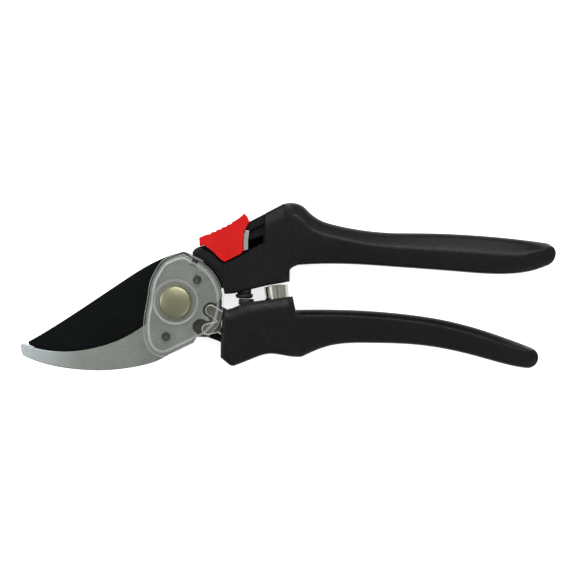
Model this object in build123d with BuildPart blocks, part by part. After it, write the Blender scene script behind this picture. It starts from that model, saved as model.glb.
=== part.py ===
"""Geared bypass pruner, closed and locked, lying flat on its back.

Frame: millimetres, origin on the pivot axis at the surface the tool rests on, +X along the handles,
+Y from the lower handle to the upper handle, +Z up through the pivot bolt.
"""
from build123d import *
from math import atan2, cos, degrees, hypot, radians, sin
import os

# ---------------------------------------------------------------- driving dimensions
HANDLE_THICK = 14.0
GRIP_ROUND = 3.0
GRIP_START = 60.0

BLADE_BACK = 4.6
BLADE_THICK = 3.2
GRIND_WIDTH = 4.5
EDGE_LAND = 0.4
LAYER_GAP = 0.1
HOOK_THICK = 3.2
BLADE_FRONT = BLADE_BACK + BLADE_THICK
HOOK_BACK = BLADE_FRONT + LAYER_GAP
HOOK_FRONT = HOOK_BACK + HOOK_THICK

BOLT_RADIUS = 3.9
BOLT_HEAD_RADIUS = 6.4
BOLT_HEAD_BACK = 13.6
BOLT_HEAD_HEIGHT = 2.2
BOLT_TAIL = 0.3
BUSH_RADIUS = 5.0
WAVE_WASHER_RADIUS = 6.0
WAVE_WASHER_THICK = 0.4
PIVOT_WASHER_RADIUS = 6.5
RUN_FIT = 0.05
NUT_FLATS = 10.0
NUT_HEIGHT = 3.6
PIVOT_PLATE_RADIUS = 18.2

# The gear pair: round lobes on the arm roll in slots cut in the hook plate.
ARM_PIVOT = (22.3, -8.8)
ARM_PITCH_RADIUS = 10.0
HOOK_PITCH_RADIUS = 14.0
LOBE_RADIUS = 2.3
LOBE_ANGLES = (147.0, 192.0)
LOBE_PLAY = 0.7
HANDLE_OPENING = 34.0
TOOTH_TIP_RADIUS = 15.5
ARM_HUB_RADIUS = 6.2
RIVET_RADIUS = 3.0
RIVET_HEAD_RADIUS = 5.0
RIVET_TAIL = 0.4
RIVET_WASHER_BACK = 3.8
RIVET_FRONT_HEAD_RADIUS = 4.2
RIVET_FRONT = 12.4
EAR_RADIUS = 5.3

# The clear cover over the hook plate.
COVER_GAP = 0.1
COVER_BASE_THICK = 1.3
COVER_PLATEAU_THICK = 2.3
COVER_ARC_RADIUS = 19.1
COVER_INSET = 2.2
COVER_RECESS_RADIUS = 8.6
PEG_CENTRES = ((8.5, 8.8), (-3.9, -13.8))
PEG_RADIUS = 1.5
PEG_DIMPLE_DEPTH = 0.9
COVER_BACK = HOOK_FRONT + COVER_GAP
COVER_BASE_FRONT = COVER_BACK + COVER_BASE_THICK
COVER_FRONT = COVER_BACK + COVER_PLATEAU_THICK

# The lock: button and latch slide along the upper handle's shoulder.
LOCK_ANGLE = 27.0
LOCK_TRAVEL = 6.5
HEAD_ARC_RADIUS = 19.7
CHANNEL_FLOOR = 10.4
LATCH_BACK = 8.4
LATCH_RIVETS = ((19.6, 19.8), (22.4, 21.2))
LATCH_RIVET_RADIUS = 0.7
LATCH_THICK = 1.6
LATCH_WIDTH = 4.6
NOTCH_ANGLE = 64.5
BUTTON_FRONT = 14.5
BUTTON_GAP = 0.1
BLOCK_BACK = 1.0
TAB_FRONT = 13.2
LATCH_RIVET_LENGTH = 4.6

# The return spring between the handles.
SPRING_CENTRE = (39.7, 4.0)
SPRING_TILT = 8.0
SPRING_RADIUS = 5.4
SPRING_LENGTH = 4.2
SPRING_STRIP = 0.7
MID_HEIGHT = HANDLE_THICK / 2

# The rubber stops between the handles.
KNOB_CENTRE_X = 27.2
DISC_CENTRE_X = 28.0

os.makedirs("parts", exist_ok=True)


# ---------------------------------------------------------------- helpers
def on_circle(radius, angle, centre=(0, 0)):
    """Point at an angle in degrees on a circle about a centre."""
    return (centre[0] + radius * cos(radians(angle)), centre[1] + radius * sin(radians(angle)))


def along_lock(point, distance):
    """Point moved along the lock's slide direction."""
    return on_circle(distance, LOCK_ANGLE, point)


def finish(piece, label):
    """Name a finished piece and write it."""
    piece.label = label
    export_step(piece, f"parts/{label}.step")


def rim_edges(part, height):
    """Edges that lie in one horizontal plane."""
    return part.edges().filter_by_position(Axis.Z, height - 0.001, height + 0.001).filter_by(
        lambda edge: edge.bounding_box().size.Z < 0.001)


def grip_rims(handle):
    """Front and back rims of a handle's grip."""
    rims = rim_edges(handle, 0) + rim_edges(handle, HANDLE_THICK)
    return rims.filter_by(lambda edge: edge.bounding_box().max.X > GRIP_START)


def lobe_path(lobe_angle):
    """Centre of an arm lobe, seen from the turning hook, from closed to fully open."""
    ratio = ARM_PITCH_RADIUS / HOOK_PITCH_RADIUS
    points = []
    for turn in (0, HANDLE_OPENING / 2, HANDLE_OPENING):
        x, y = on_circle(ARM_PITCH_RADIUS, lobe_angle - turn, ARM_PIVOT)
        points.append(Vector(*on_circle(hypot(x, y), degrees(atan2(y, x)) - turn * ratio)))
    return Edge.make_three_point_arc(*points)


# ---------------------------------------------------------------- outlines
BLADE_TIP = (-59.3, -16.0)
BLADE_TIP_LOW = (-58.9, -17.2)
BLADE_HEEL = (3.1, 20.1)
SPINE_POINTS = [(-41.7, -5.3), (-22.5, 7.5), (-8.1, 16.2)]
EDGE_START = (-8.0, -12.0)
EDGE_POINTS = [(-20.0, -18.4), (-32.0, -21.6), (-44.0, -21.8), (-53.0, -19.6)]
TANG_POINTS = [(9.0, 17.6), (20.0, 20.6), (44.0, 31.5), (66.0, 24.5), (66.0, 19.8), (46.0, 18.6), (30.0, 11.0),
               (20.5, 6.6), (17.6, 5.0)]
EAR_SKIRT = [(18.4, -16.6), (16.6, -15.6), (12.6, -14.2), (8.0, -14.0)]

HOOK_TIP = [(-60.7, -16.5), (-62.0, -17.3), (-61.7, -19.3), (-60.9, -21.3)]
HOOK_INNER = [(-55.6, -18.5), (-50.6, -19.4), (-45.3, -19.8), (-40.0, -19.6), (-33.3, -18.5), (-26.7, -16.7),
              (-20.1, -13.9)]
HOOK_OUTER = [(-51.3, -24.9), (-39.3, -26.9), (-30.9, -27.3), (-15.3, -25.7), (-9.6, -24.3)]
HOOK_THROAT = (-12.2, -8.9)
HOOK_HEEL = (-4.6, -22.1)
PLATE_LEFT = [(-11.8, -5.1), (-10.8, 0.7), (-9.2, 9.1), (-7.4, 12.4), (-4.8, 15.9), (-1.8, 17.6), (3.0, 19.3)]

COVER_LEFT = [(-12.8, -11.7), (-12.5, -5.1), (-11.4, 0.7), (-9.8, 9.3), (-8.0, 12.7), (-5.3, 16.5), (-1.8, 18.4),
              (3.3, 20.3), (5.2, 20.0)]
COVER_LOWER = [(17.5, -8.2), (16.4, -10.3), (12.7, -14.1), (-3.2, -21.7), (-7.8, -21.4), (-11.2, -18.4),
               (-12.6, -14.4)]
PLATEAU_LEFT = [(-10.6, -11.4), (-10.3, -5.1), (-9.3, 0.3), (-7.7, 8.4), (-6.0, 11.7), (-3.5, 14.9), (-0.6, 16.6),
                (3.4, 17.6)]
PLATEAU_LOWER = [(11.7, -12.2), (-3.2, -19.3), (-6.9, -19.0), (-9.5, -17.0)]


def blade_outline():
    """Blade, pivot plate, tang and arm ear in one plate."""
    with BuildLine() as line:
        Spline([BLADE_TIP, *SPINE_POINTS, BLADE_HEEL])
        Polyline([BLADE_HEEL, *TANG_POINTS])
        plate_low = on_circle(PIVOT_PLATE_RADIUS, -6)
        ThreePointArc(TANG_POINTS[-1], on_circle(PIVOT_PLATE_RADIUS, 6), plate_low)
        ear_top = on_circle(EAR_RADIUS, 100, ARM_PIVOT)
        ear_low = on_circle(EAR_RADIUS, -75, ARM_PIVOT)
        Line(plate_low, ear_top)
        ThreePointArc(ear_top, on_circle(EAR_RADIUS, 12, ARM_PIVOT), ear_low)
        Polyline([ear_low, *EAR_SKIRT, EDGE_START])
        Spline([EDGE_START, *EDGE_POINTS, BLADE_TIP_LOW])
        Line(BLADE_TIP_LOW, BLADE_TIP)
    return line.line


def hook_outline():
    """Hook and its pivot plate, before the gear slots are cut."""
    plate_top = on_circle(COVER_ARC_RADIUS - 0.5, 72)
    plate_right = on_circle(COVER_ARC_RADIUS - 0.5, 6)
    tooth_top = on_circle(TOOTH_TIP_RADIUS, -6)
    tooth_low = on_circle(TOOTH_TIP_RADIUS, -54)
    with BuildLine() as line:
        Polyline(HOOK_TIP)
        Spline([HOOK_TIP[-1], *HOOK_OUTER, HOOK_HEEL])
        Polyline([HOOK_HEEL, (-3.2, -21.2), (7.0, -16.3), (8.0, -14.6), tooth_low])
        ThreePointArc(tooth_low, on_circle(TOOTH_TIP_RADIUS, -27), tooth_top)
        Line(tooth_top, plate_right)
        ThreePointArc(plate_right, on_circle(COVER_ARC_RADIUS - 0.5, 39), plate_top)
        Line(plate_top, PLATE_LEFT[-1])
        Spline([*reversed(PLATE_LEFT), HOOK_THROAT])
        Spline([HOOK_THROAT, *reversed(HOOK_INNER), HOOK_TIP[0]])
    return line.line


def cover_outline():
    """Edge of the clear cover."""
    arc_top = on_circle(COVER_ARC_RADIUS, 70)
    arc_low = on_circle(COVER_ARC_RADIUS, -18)
    with BuildLine() as line:
        Spline(COVER_LEFT[:-1])
        Polyline([COVER_LEFT[-2], COVER_LEFT[-1], arc_top])
        ThreePointArc(arc_top, on_circle(COVER_ARC_RADIUS, 26), arc_low)
        Polyline([arc_low, *COVER_LOWER[:4]])
        Spline([*COVER_LOWER[3:], COVER_LEFT[0]])
    return line.line


def plateau_outline():
    """Edge of the cover's raised middle."""
    arc_radius = COVER_ARC_RADIUS - COVER_INSET
    arc_top = on_circle(arc_radius, 70)
    arc_low = on_circle(arc_radius, -24)
    with BuildLine() as line:
        Spline(PLATEAU_LEFT)
        Line(PLATEAU_LEFT[-1], arc_top)
        ThreePointArc(arc_top, on_circle(arc_radius, 26), arc_low)
        Polyline([arc_low, *PLATEAU_LOWER[:2]])
        Spline([*PLATEAU_LOWER[1:], PLATEAU_LEFT[0]])
    return line.line


def shoulder(distance, lift=0.0):
    """Point along the upper handle's sloping shoulder."""
    x, y = along_lock((8.8, 21.3), distance)
    return (x, y + lift)


def upper_handle_outline():
    """Upper handle: head around the tang, sloping shoulder, humped back, straight grip."""
    arc_top = on_circle(HEAD_ARC_RADIUS, 69)
    arc_low = on_circle(HEAD_ARC_RADIUS, 9)
    peak_start = shoulder(37.5, 0.3)
    with BuildLine() as line:
        ThreePointArc(arc_low, on_circle(HEAD_ARC_RADIUS, 39), arc_top)
        Polyline([arc_top, (6.6, 19.6), (7.5, 21.0), (9.2, 21.9), shoulder(2), peak_start])
        hump = TangentArc([peak_start, (52.3, 36.7)], tangent=along_lock((0, 0), 1))
        hollow = TangentArc([hump @ 1, (61.0, 31.3)], tangent=hump % 1)
        back = TangentArc([hollow @ 1, (91.1, 27.4)], tangent=hollow % 1)
        grip = TangentArc([back @ 1, (147.5, 23.5)], tangent=back % 1)
        tail = TangentArc([grip @ 1, (151.2, 18.6)], tangent=grip % 1)
        TangentArc([tail @ 1, (147.2, 14.2)], tangent=tail % 1)
        Spline([(147.2, 14.2), (139.1, 11.8), (129.5, 11.1), (110.3, 12.3), (91.1, 13.7), (71.9, 15.0),
                (48.7, 14.7)])
        Polyline([(48.7, 14.7), (46.9, 14.0), (45.6, 13.0), (45.0, 11.5), (45.4, 8.1), (35.9, 6.4), (22.9, 3.3),
                  arc_low])
    return line.line


def lower_handle_outline():
    """Lower handle: head over the arm pivot, raised spring seat, long curved grip, finger hook below."""
    front_top = (18.9, -2.9)
    front_low = (18.0, -14.0)
    with BuildLine() as line:
        Polyline([front_low, (18.3, -8.0), front_top, (20.7, -3.2), (22.3, -2.6), (25.4, -1.3),
                  (29.4, -0.1), (46.6, 2.2), (47.8, -3.2)])
        grip = Spline([(47.8, -3.2), (71.9, -3.4), (91.1, -4.9), (110.3, -8.0), (129.5, -13.7), (141.6, -18.2)])
        tail = TangentArc([grip @ 1, (139.6, -26.4)], tangent=grip % 1)
        Spline([tail @ 1, (129.5, -24.4), (116.7, -20.9), (97.5, -17.3), (78.0, -16.4), (62.3, -17.3),
                (50.4, -21.8)], tangents=(tail % 1, (-0.9, -0.44)))
        Spline([(50.4, -21.8), (48.9, -22.0), (38.7, -20.7), (24.0, -25.2)], tangents=((-1, -0.4), (-1, -0.36)))
        ThreePointArc((24.0, -25.2), (22.6, -25.5), (21.2, -25.0))
        Polyline([(21.2, -25.0), (17.8, -22.1), front_low])
    return line.line


# ---------------------------------------------------------------- blade side
def make_blade():
    with BuildPart() as cutting_blade:
        with BuildSketch(Plane.XY.offset(BLADE_BACK)):
            add(blade_outline())
            make_face()
            with Locations((0, 0)):
                Circle(BOLT_RADIUS + RUN_FIT, mode=Mode.SUBTRACT)
            with Locations(ARM_PIVOT):
                Circle(RIVET_RADIUS, mode=Mode.SUBTRACT)
        extrude(amount=BLADE_THICK)
        # The edge is ground from the back only, so the front face slides flat past the hook.
        cutting_edge = rim_edges(cutting_blade, BLADE_BACK).filter_by(
            lambda edge: edge.length > 20 and edge.bounding_box().max.Y < EDGE_START[1] + 1)
        chamfer(cutting_edge, length=GRIND_WIDTH, length2=BLADE_THICK - EDGE_LAND,
                reference=cutting_blade.faces().sort_by(Axis.Z)[0])
    finish(cutting_blade.part, "cutting_blade")
    return cutting_blade.part


def make_pivot_bolt():
    head_front = BOLT_HEAD_BACK + BOLT_HEAD_HEIGHT
    rim_height = 1.4
    rise = BOLT_HEAD_HEIGHT - rim_height
    dome_radius = (BOLT_HEAD_RADIUS ** 2 + rise ** 2) / (2 * rise)
    half_way = BOLT_HEAD_RADIUS / 2
    half_drop = dome_radius - (dome_radius ** 2 - half_way ** 2) ** 0.5
    with BuildPart() as pivot_bolt:
        with BuildSketch(Plane.XZ):
            with BuildLine():
                Polyline([(0, head_front), (0, BOLT_TAIL), (BOLT_RADIUS, BOLT_TAIL), (BOLT_RADIUS, BOLT_HEAD_BACK),
                          (BOLT_HEAD_RADIUS, BOLT_HEAD_BACK), (BOLT_HEAD_RADIUS, BOLT_HEAD_BACK + rim_height)])
                ThreePointArc((BOLT_HEAD_RADIUS, BOLT_HEAD_BACK + rim_height),
                              (half_way, head_front - half_drop), (0, head_front))
            make_face()
        revolve(axis=Axis.Z)
    finish(pivot_bolt.part, "pivot_bolt")


def make_ring(label, outer, inner, bottom, top):
    """Plain washer or bush about the main pivot."""
    with BuildPart() as ring:
        with BuildSketch(Plane.XY.offset(bottom)):
            Circle(outer)
            Circle(inner, mode=Mode.SUBTRACT)
        extrude(amount=top - bottom)
    finish(ring.part, label)


def make_pivot_nut():
    with BuildPart() as pivot_nut:
        with BuildSketch(Plane.XY):
            RegularPolygon(NUT_FLATS / 2, 6, major_radius=False)
            Circle(BOLT_RADIUS, mode=Mode.SUBTRACT)
        extrude(amount=NUT_HEIGHT)
        with BuildSketch(Plane.XZ):
            with BuildLine():
                Polyline([(5.2, 0), (7, 0), (7, 1.0), (5.2, 0)])
            make_face()
        revolve(axis=Axis.Z, mode=Mode.SUBTRACT)
    finish(pivot_nut.part, "pivot_nut")


def make_upper_handle(blade):
    with BuildPart() as upper_handle:
        with BuildSketch(Plane.XY):
            add(upper_handle_outline())
            make_face()
        extrude(amount=HANDLE_THICK)
        fillet(grip_rims(upper_handle), GRIP_ROUND)
        # Channel for the button, and the deeper window over the latch.
        with BuildSketch(Plane.XY.offset(CHANNEL_FLOOR)):
            with BuildLine():
                Polyline([(7.5, 30.0), (8.0, 22.3), (14.1, 19.4), (17.4, 16.2), (19.6, 15.1), (35.8, 23.2),
                          (35.8, 46.0), (7.5, 30.0)])
            make_face()
        extrude(amount=HANDLE_THICK, mode=Mode.SUBTRACT)
        with BuildSketch(Plane.XY.offset(BLADE_FRONT)):
            with BuildLine():
                Polyline([(17.5, 17.0), (19.6, 15.9), (34.9, 23.6), (34.9, 31.2), (17.5, 22.6), (17.5, 17.0)])
            make_face()
        extrude(amount=CHANNEL_FLOOR - BLADE_FRONT + 0.1, mode=Mode.SUBTRACT)
        # Guide for the latch, open at the head.
        with BuildSketch(Plane.XY.offset(BLADE_FRONT)):
            with Locations(Location(along_lock((6.0, 15.6), 15), LOCK_ANGLE)):
                Rectangle(38, 5.8)
        extrude(amount=CHANNEL_FLOOR - BLADE_FRONT + 0.1, mode=Mode.SUBTRACT)
        # Pocket for the bumper's stem.
        with Locations(Plane(origin=(KNOB_CENTRE_X, 3.0, MID_HEIGHT), z_dir=(0, 1, 0))):
            Cylinder(2.0, 3.0, align=(Align.CENTER, Align.CENTER, Align.MIN), mode=Mode.SUBTRACT)
        add(blade, mode=Mode.SUBTRACT)
    finish(upper_handle.part, "upper_handle")


def make_upper_bumper():
    """Rubber knob under the upper handle, on a stem pressed into it."""
    with BuildPart() as upper_bumper:
        with BuildSketch(Plane.XY.offset(MID_HEIGHT)):
            with BuildLine():
                Polyline([(KNOB_CENTRE_X, 6.0), (29.2, 6.0), (29.2, 3.4), (31.0, 3.4), (31.0, 2.4)])
                ThreePointArc((31.0, 2.4), (30.3, 1.5), (29.4, 1.25))
                Polyline([(29.4, 1.25), (KNOB_CENTRE_X, 1.25), (KNOB_CENTRE_X, 6.0)])
            make_face()
        revolve(axis=Axis((KNOB_CENTRE_X, 0, MID_HEIGHT), (0, 1, 0)))
    finish(upper_bumper.part, "upper_bumper")


def make_arm_rivet():
    """Rivet that the lower handle turns on, with its rear head formed over a washer."""
    with BuildPart() as arm_rivet:
        with BuildSketch(Plane.XZ):
            with BuildLine():
                Polyline([(0, RIVET_TAIL), (RIVET_HEAD_RADIUS - 1.0, RIVET_TAIL), (RIVET_HEAD_RADIUS - 0.4, 1.4),
                          (RIVET_HEAD_RADIUS - 0.4, RIVET_WASHER_BACK), (RIVET_RADIUS, RIVET_WASHER_BACK),
                          (RIVET_RADIUS, HOOK_FRONT + LAYER_GAP), (RIVET_FRONT_HEAD_RADIUS, HOOK_FRONT + LAYER_GAP),
                          (RIVET_FRONT_HEAD_RADIUS, RIVET_FRONT), (0, RIVET_FRONT), (0, RIVET_TAIL)])
            make_face()
        revolve(axis=Axis.Z)
    arm_rivet.part.position = (*ARM_PIVOT, 0)
    finish(arm_rivet.part, "arm_rivet")


def make_arm_rivet_washer():
    with BuildPart() as arm_rivet_washer:
        with BuildSketch(Plane.XY.offset(RIVET_WASHER_BACK)):
            with Locations(ARM_PIVOT):
                Circle(RIVET_HEAD_RADIUS)
                Circle(RIVET_RADIUS, mode=Mode.SUBTRACT)
        extrude(amount=BLADE_BACK - RIVET_WASHER_BACK)
    finish(arm_rivet_washer.part, "arm_rivet_washer")


def make_return_spring():
    """Volute spring: nested turns of flat strip, pressed short between the handles."""
    turns = 3
    overlap = 0.35
    turn_height = SPRING_LENGTH / (turns - (turns - 1) * overlap)
    axis_plane = Plane(origin=(*SPRING_CENTRE, MID_HEIGHT), x_dir=(0, 0, 1),
                       z_dir=(-sin(radians(SPRING_TILT)), cos(radians(SPRING_TILT)), 0))
    with BuildPart() as return_spring:
        for turn in range(turns):
            outer = SPRING_RADIUS - turn * SPRING_STRIP
            bottom = -SPRING_LENGTH / 2 + turn * turn_height * (1 - overlap)
            with BuildSketch(axis_plane.offset(bottom)):
                Circle(outer)
                Circle(outer - SPRING_STRIP, mode=Mode.SUBTRACT)
            extrude(amount=turn_height)
    finish(return_spring.part, "return_spring")


def make_detent_spring():
    """Bowed steel leaf in the latch guide that clicks the lock home."""
    with BuildPart() as detent_spring:
        with BuildSketch(Plane.XY.offset(BLADE_FRONT + 0.05)):
            with Locations(Location((23.0, 21.4), LOCK_ANGLE)):
                Rectangle(7.0, 3.6)
        extrude(amount=0.4)
    finish(detent_spring.part, "detent_spring")


# ---------------------------------------------------------------- hook side
def make_hook():
    with BuildPart() as hook_jaw:
        with BuildSketch(Plane.XY.offset(HOOK_BACK)):
            add(hook_outline())
            make_face()
            for lobe_angle in LOBE_ANGLES:
                SlotArc(lobe_path(lobe_angle), 2 * (LOBE_RADIUS + LOBE_PLAY), mode=Mode.SUBTRACT)
            with Locations((0, 0)):
                Circle(BUSH_RADIUS + RUN_FIT, mode=Mode.SUBTRACT)
            with Locations(*PEG_CENTRES):
                Circle(PEG_RADIUS, mode=Mode.SUBTRACT)
            # Notch in the rim for the latch.
            with Locations(Location(on_circle(COVER_ARC_RADIUS, NOTCH_ANGLE), NOTCH_ANGLE)):
                Rectangle(6.0, 2.2, mode=Mode.SUBTRACT)
        extrude(amount=HOOK_THICK)
    finish(hook_jaw.part, "hook_jaw")


def make_gear_cover():
    with BuildPart() as gear_cover:
        with BuildSketch(Plane.XY.offset(COVER_BACK)):
            add(cover_outline())
            make_face()
        extrude(amount=COVER_BASE_THICK)
        with BuildSketch(Plane.XY.offset(COVER_BASE_FRONT)):
            add(plateau_outline())
            make_face()
        extrude(amount=COVER_FRONT - COVER_BASE_FRONT)
        with BuildSketch(Plane.XY.offset(COVER_BACK)):
            Circle(BUSH_RADIUS + 0.3)
            with Locations(*PEG_CENTRES):
                Circle(PEG_RADIUS)
        extrude(amount=COVER_PLATEAU_THICK, mode=Mode.SUBTRACT)
        with BuildSketch(Plane.XY.offset(COVER_BASE_FRONT)):
            Circle(COVER_RECESS_RADIUS)
        extrude(amount=COVER_PLATEAU_THICK, mode=Mode.SUBTRACT)
    finish(gear_cover.part, "gear_cover")


def make_cover_pegs():
    with BuildPart() as cover_pegs:
        with BuildSketch(Plane.XY.offset(HOOK_BACK + LAYER_GAP)):
            with Locations(*PEG_CENTRES):
                Circle(PEG_RADIUS)
        extrude(amount=COVER_FRONT - HOOK_BACK - LAYER_GAP)
        with BuildSketch(Plane.XY.offset(COVER_FRONT)):
            with Locations(*PEG_CENTRES):
                Circle(PEG_RADIUS - 0.6)
        extrude(amount=-PEG_DIMPLE_DEPTH, mode=Mode.SUBTRACT)
    finish(cover_pegs.part, "cover_pegs")


# ---------------------------------------------------------------- lower handle side
def make_gear_arm():
    """Arm with two round-nosed lobes, and a tang inside the lower handle."""
    with BuildPart() as gear_arm:
        with BuildSketch(Plane.XY.offset(HOOK_BACK)):
            with Locations(ARM_PIVOT):
                Circle(ARM_HUB_RADIUS)
            for lobe_angle in LOBE_ANGLES:
                lobe = Edge.make_line(Vector(*on_circle(3, lobe_angle, ARM_PIVOT)),
                                      Vector(*on_circle(ARM_PITCH_RADIUS, lobe_angle, ARM_PIVOT)))
                SlotArc(lobe, 2 * LOBE_RADIUS)
            with BuildLine():
                Polyline([(22.0, -14.8), (24.0, -2.9), (48.0, -8.5), (62.0, -8.5), (62.0, -12.5), (48.0, -16.5),
                          (22.0, -14.8)])
            make_face()
            with Locations(ARM_PIVOT):
                Circle(RIVET_RADIUS + RUN_FIT, mode=Mode.SUBTRACT)
        extrude(amount=HOOK_THICK)
    finish(gear_arm.part, "gear_arm")
    return gear_arm.part


def make_lower_handle(arm):
    with BuildPart() as lower_handle:
        with BuildSketch(Plane.XY):
            add(lower_handle_outline())
            make_face()
        extrude(amount=HANDLE_THICK)
        fillet(grip_rims(lower_handle), GRIP_ROUND)
        # The head is open at the back, where the ear and the rivet swing.
        with BuildSketch(Plane.XY):
            with Locations(ARM_PIVOT):
                Circle(7.4)
            with BuildLine():
                Polyline([(10.0, 6.0), (26.5, 6.0), (26.5, -8.0), (24.8, -19.2), (10.0, -19.2), (10.0, 6.0)])
            make_face()
        extrude(amount=HOOK_BACK + 0.05, mode=Mode.SUBTRACT)
        # Room for the rivet's front head, and the opening that the lobes leave through.
        with Locations((*ARM_PIVOT, HOOK_BACK)):
            Cylinder(RIVET_FRONT_HEAD_RADIUS + 0.3, RIVET_FRONT - HOOK_BACK + 0.2,
                     align=(Align.CENTER, Align.CENTER, Align.MIN), mode=Mode.SUBTRACT)
        with BuildSketch(Plane.XY.offset(HOOK_BACK)):
            with BuildLine():
                Polyline([(10.0, 2.0), (22.3, 2.0), (22.3, -15.5), (10.0, -15.5), (10.0, 2.0)])
            make_face()
        extrude(amount=HOOK_THICK + 0.05, mode=Mode.SUBTRACT)
        # Seats for the bumper disc and the spring.
        with Locations(Plane(origin=(DISC_CENTRE_X, 0, MID_HEIGHT), z_dir=(0, 1, 0))):
            Cylinder(1.6, 2.0, align=(Align.CENTER, Align.CENTER, Align.MAX), mode=Mode.SUBTRACT)
        add(arm, mode=Mode.SUBTRACT)
    finish(lower_handle.part, "lower_handle")


def make_lower_bumper():
    """Rubber disc on the lower handle that the upper knob lands on."""
    with BuildPart() as lower_bumper:
        with BuildSketch(Plane.XY.offset(MID_HEIGHT)):
            with BuildLine():
                Polyline([(DISC_CENTRE_X, 0.95), (30.8, 0.95), (30.8, 0.15), (29.6, 0.1), (29.6, -1.4),
                          (DISC_CENTRE_X, -1.4), (DISC_CENTRE_X, 0.95)])
            make_face()
        revolve(axis=Axis((DISC_CENTRE_X, 0, MID_HEIGHT), (0, 1, 0)))
    finish(lower_bumper.part, "lower_bumper")


def make_spring_seat():
    """Peg that keeps the spring on the lower handle."""
    seat_plane = Plane(origin=(39.6, 1.3, MID_HEIGHT),
                       z_dir=(-sin(radians(SPRING_TILT)), cos(radians(SPRING_TILT)), 0))
    with BuildPart() as spring_seat:
        with BuildSketch(seat_plane):
            Circle(4.0)
        extrude(amount=0.5)
        with BuildSketch(seat_plane):
            Circle(2.4)
        extrude(amount=2.4)
    finish(spring_seat.part, "spring_seat")


# ---------------------------------------------------------------- lock
BUTTON_SIDE = [(9.4, 25.4), (9.7, 23.8), (14.7, 20.2), (17.9, 17.0), (19.6, 15.9), (26.2, 19.3), (26.8, 20.4),
               (26.7, 24.4), (27.1, 27.2), (28.2, 30.0), (29.4, 31.9), (28.5, 34.0), (27.3, 35.1)]
BUTTON_RIDGES = [(22.5, 31.6), (20.5, 30.5), (18.5, 29.5), (16.4, 28.5), (14.3, 27.6)]
RIDGE_VALLEY = (-0.3, -0.6)
TAB_SIDE = [(27.05, 20.3), (27.0, 24.4), (27.4, 27.2), (27.9, 28.5), (29.3, 28.3), (28.8, 24.4), (28.8, 20.9)]


def ridged_top():
    """Serrated top of the button, from its rear horn to its front corner."""
    points = []
    for x, y in BUTTON_RIDGES:
        points += [(x, y), (x + RIDGE_VALLEY[0], y + RIDGE_VALLEY[1])]
    return [*points, (11.8, 26.5)]


def make_lock_button():
    """Thumb button: a front plate in the channel, and a full-width ridged block over the shoulder."""
    with BuildPart() as lock_button:
        with BuildSketch(Plane.XY.offset(CHANNEL_FLOOR + BUTTON_GAP)):
            with BuildLine():
                Polyline(BUTTON_SIDE)
                Spline([BUTTON_SIDE[-1], (25.4, 33.4), BUTTON_RIDGES[0]])
                Polyline([*ridged_top(), BUTTON_SIDE[0]])
            make_face()
        extrude(amount=BUTTON_FRONT - CHANNEL_FLOOR - BUTTON_GAP)
        with BuildSketch(Plane.XY.offset(BLOCK_BACK)):
            with BuildLine():
                Polyline([shoulder(1.0, 0.5), shoulder(22.6, 0.5), (28.5, 34.0), (27.3, 35.1)])
                Spline([BUTTON_SIDE[-1], (25.4, 33.4), BUTTON_RIDGES[0]])
                Polyline([*ridged_top(), BUTTON_SIDE[0], shoulder(1.0, 0.5)])
            make_face()
        extrude(amount=BUTTON_FRONT - BLOCK_BACK)
        # Stem down to the latch.
        with BuildSketch(Plane.XY.offset(LATCH_BACK + LATCH_THICK)):
            with Locations(Location((21.0, 20.5), LOCK_ANGLE)):
                Rectangle(6.0, 4.0)
        extrude(amount=CHANNEL_FLOOR + 2 * BUTTON_GAP - LATCH_BACK - LATCH_THICK)
        with BuildSketch(Plane.XY.offset(LATCH_BACK)):
            with Locations(*LATCH_RIVETS):
                Circle(LATCH_RIVET_RADIUS)
        extrude(amount=LATCH_RIVET_LENGTH, mode=Mode.SUBTRACT)
    finish(lock_button.part, "lock_button")


def make_lock_latch():
    """Steel latch strip; its tip meets the notch in the hook plate's rim, its bent tab shows behind the button."""
    tip = on_circle(COVER_ARC_RADIUS + 0.1, NOTCH_ANGLE)
    with BuildPart() as lock_latch:
        with BuildSketch(Plane.XY.offset(LATCH_BACK)):
            with Locations(Location(along_lock(tip, 9.6), LOCK_ANGLE)):
                Rectangle(23.2, LATCH_WIDTH)
            Circle(COVER_ARC_RADIUS, mode=Mode.SUBTRACT)
            with Locations(*LATCH_RIVETS):
                Circle(LATCH_RIVET_RADIUS, mode=Mode.SUBTRACT)
        extrude(amount=LATCH_THICK)
        with BuildSketch(Plane.XY.offset(LATCH_BACK)):
            with Locations((27.9, 23.9)):
                Rectangle(1.4, 5.4)
        extrude(amount=TAB_FRONT - LATCH_BACK)
        with BuildSketch(Plane.XY.offset(CHANNEL_FLOOR + BUTTON_GAP)):
            with BuildLine():
                Polyline([*TAB_SIDE, TAB_SIDE[0]])
            make_face()
        extrude(amount=TAB_FRONT - CHANNEL_FLOOR - BUTTON_GAP)
    finish(lock_latch.part, "lock_latch")


def make_latch_rivets():
    with BuildPart() as latch_rivets:
        with BuildSketch(Plane.XY.offset(LATCH_BACK)):
            with Locations(*LATCH_RIVETS):
                Circle(LATCH_RIVET_RADIUS)
        extrude(amount=LATCH_RIVET_LENGTH)
    finish(latch_rivets.part, "latch_rivets")


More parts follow.
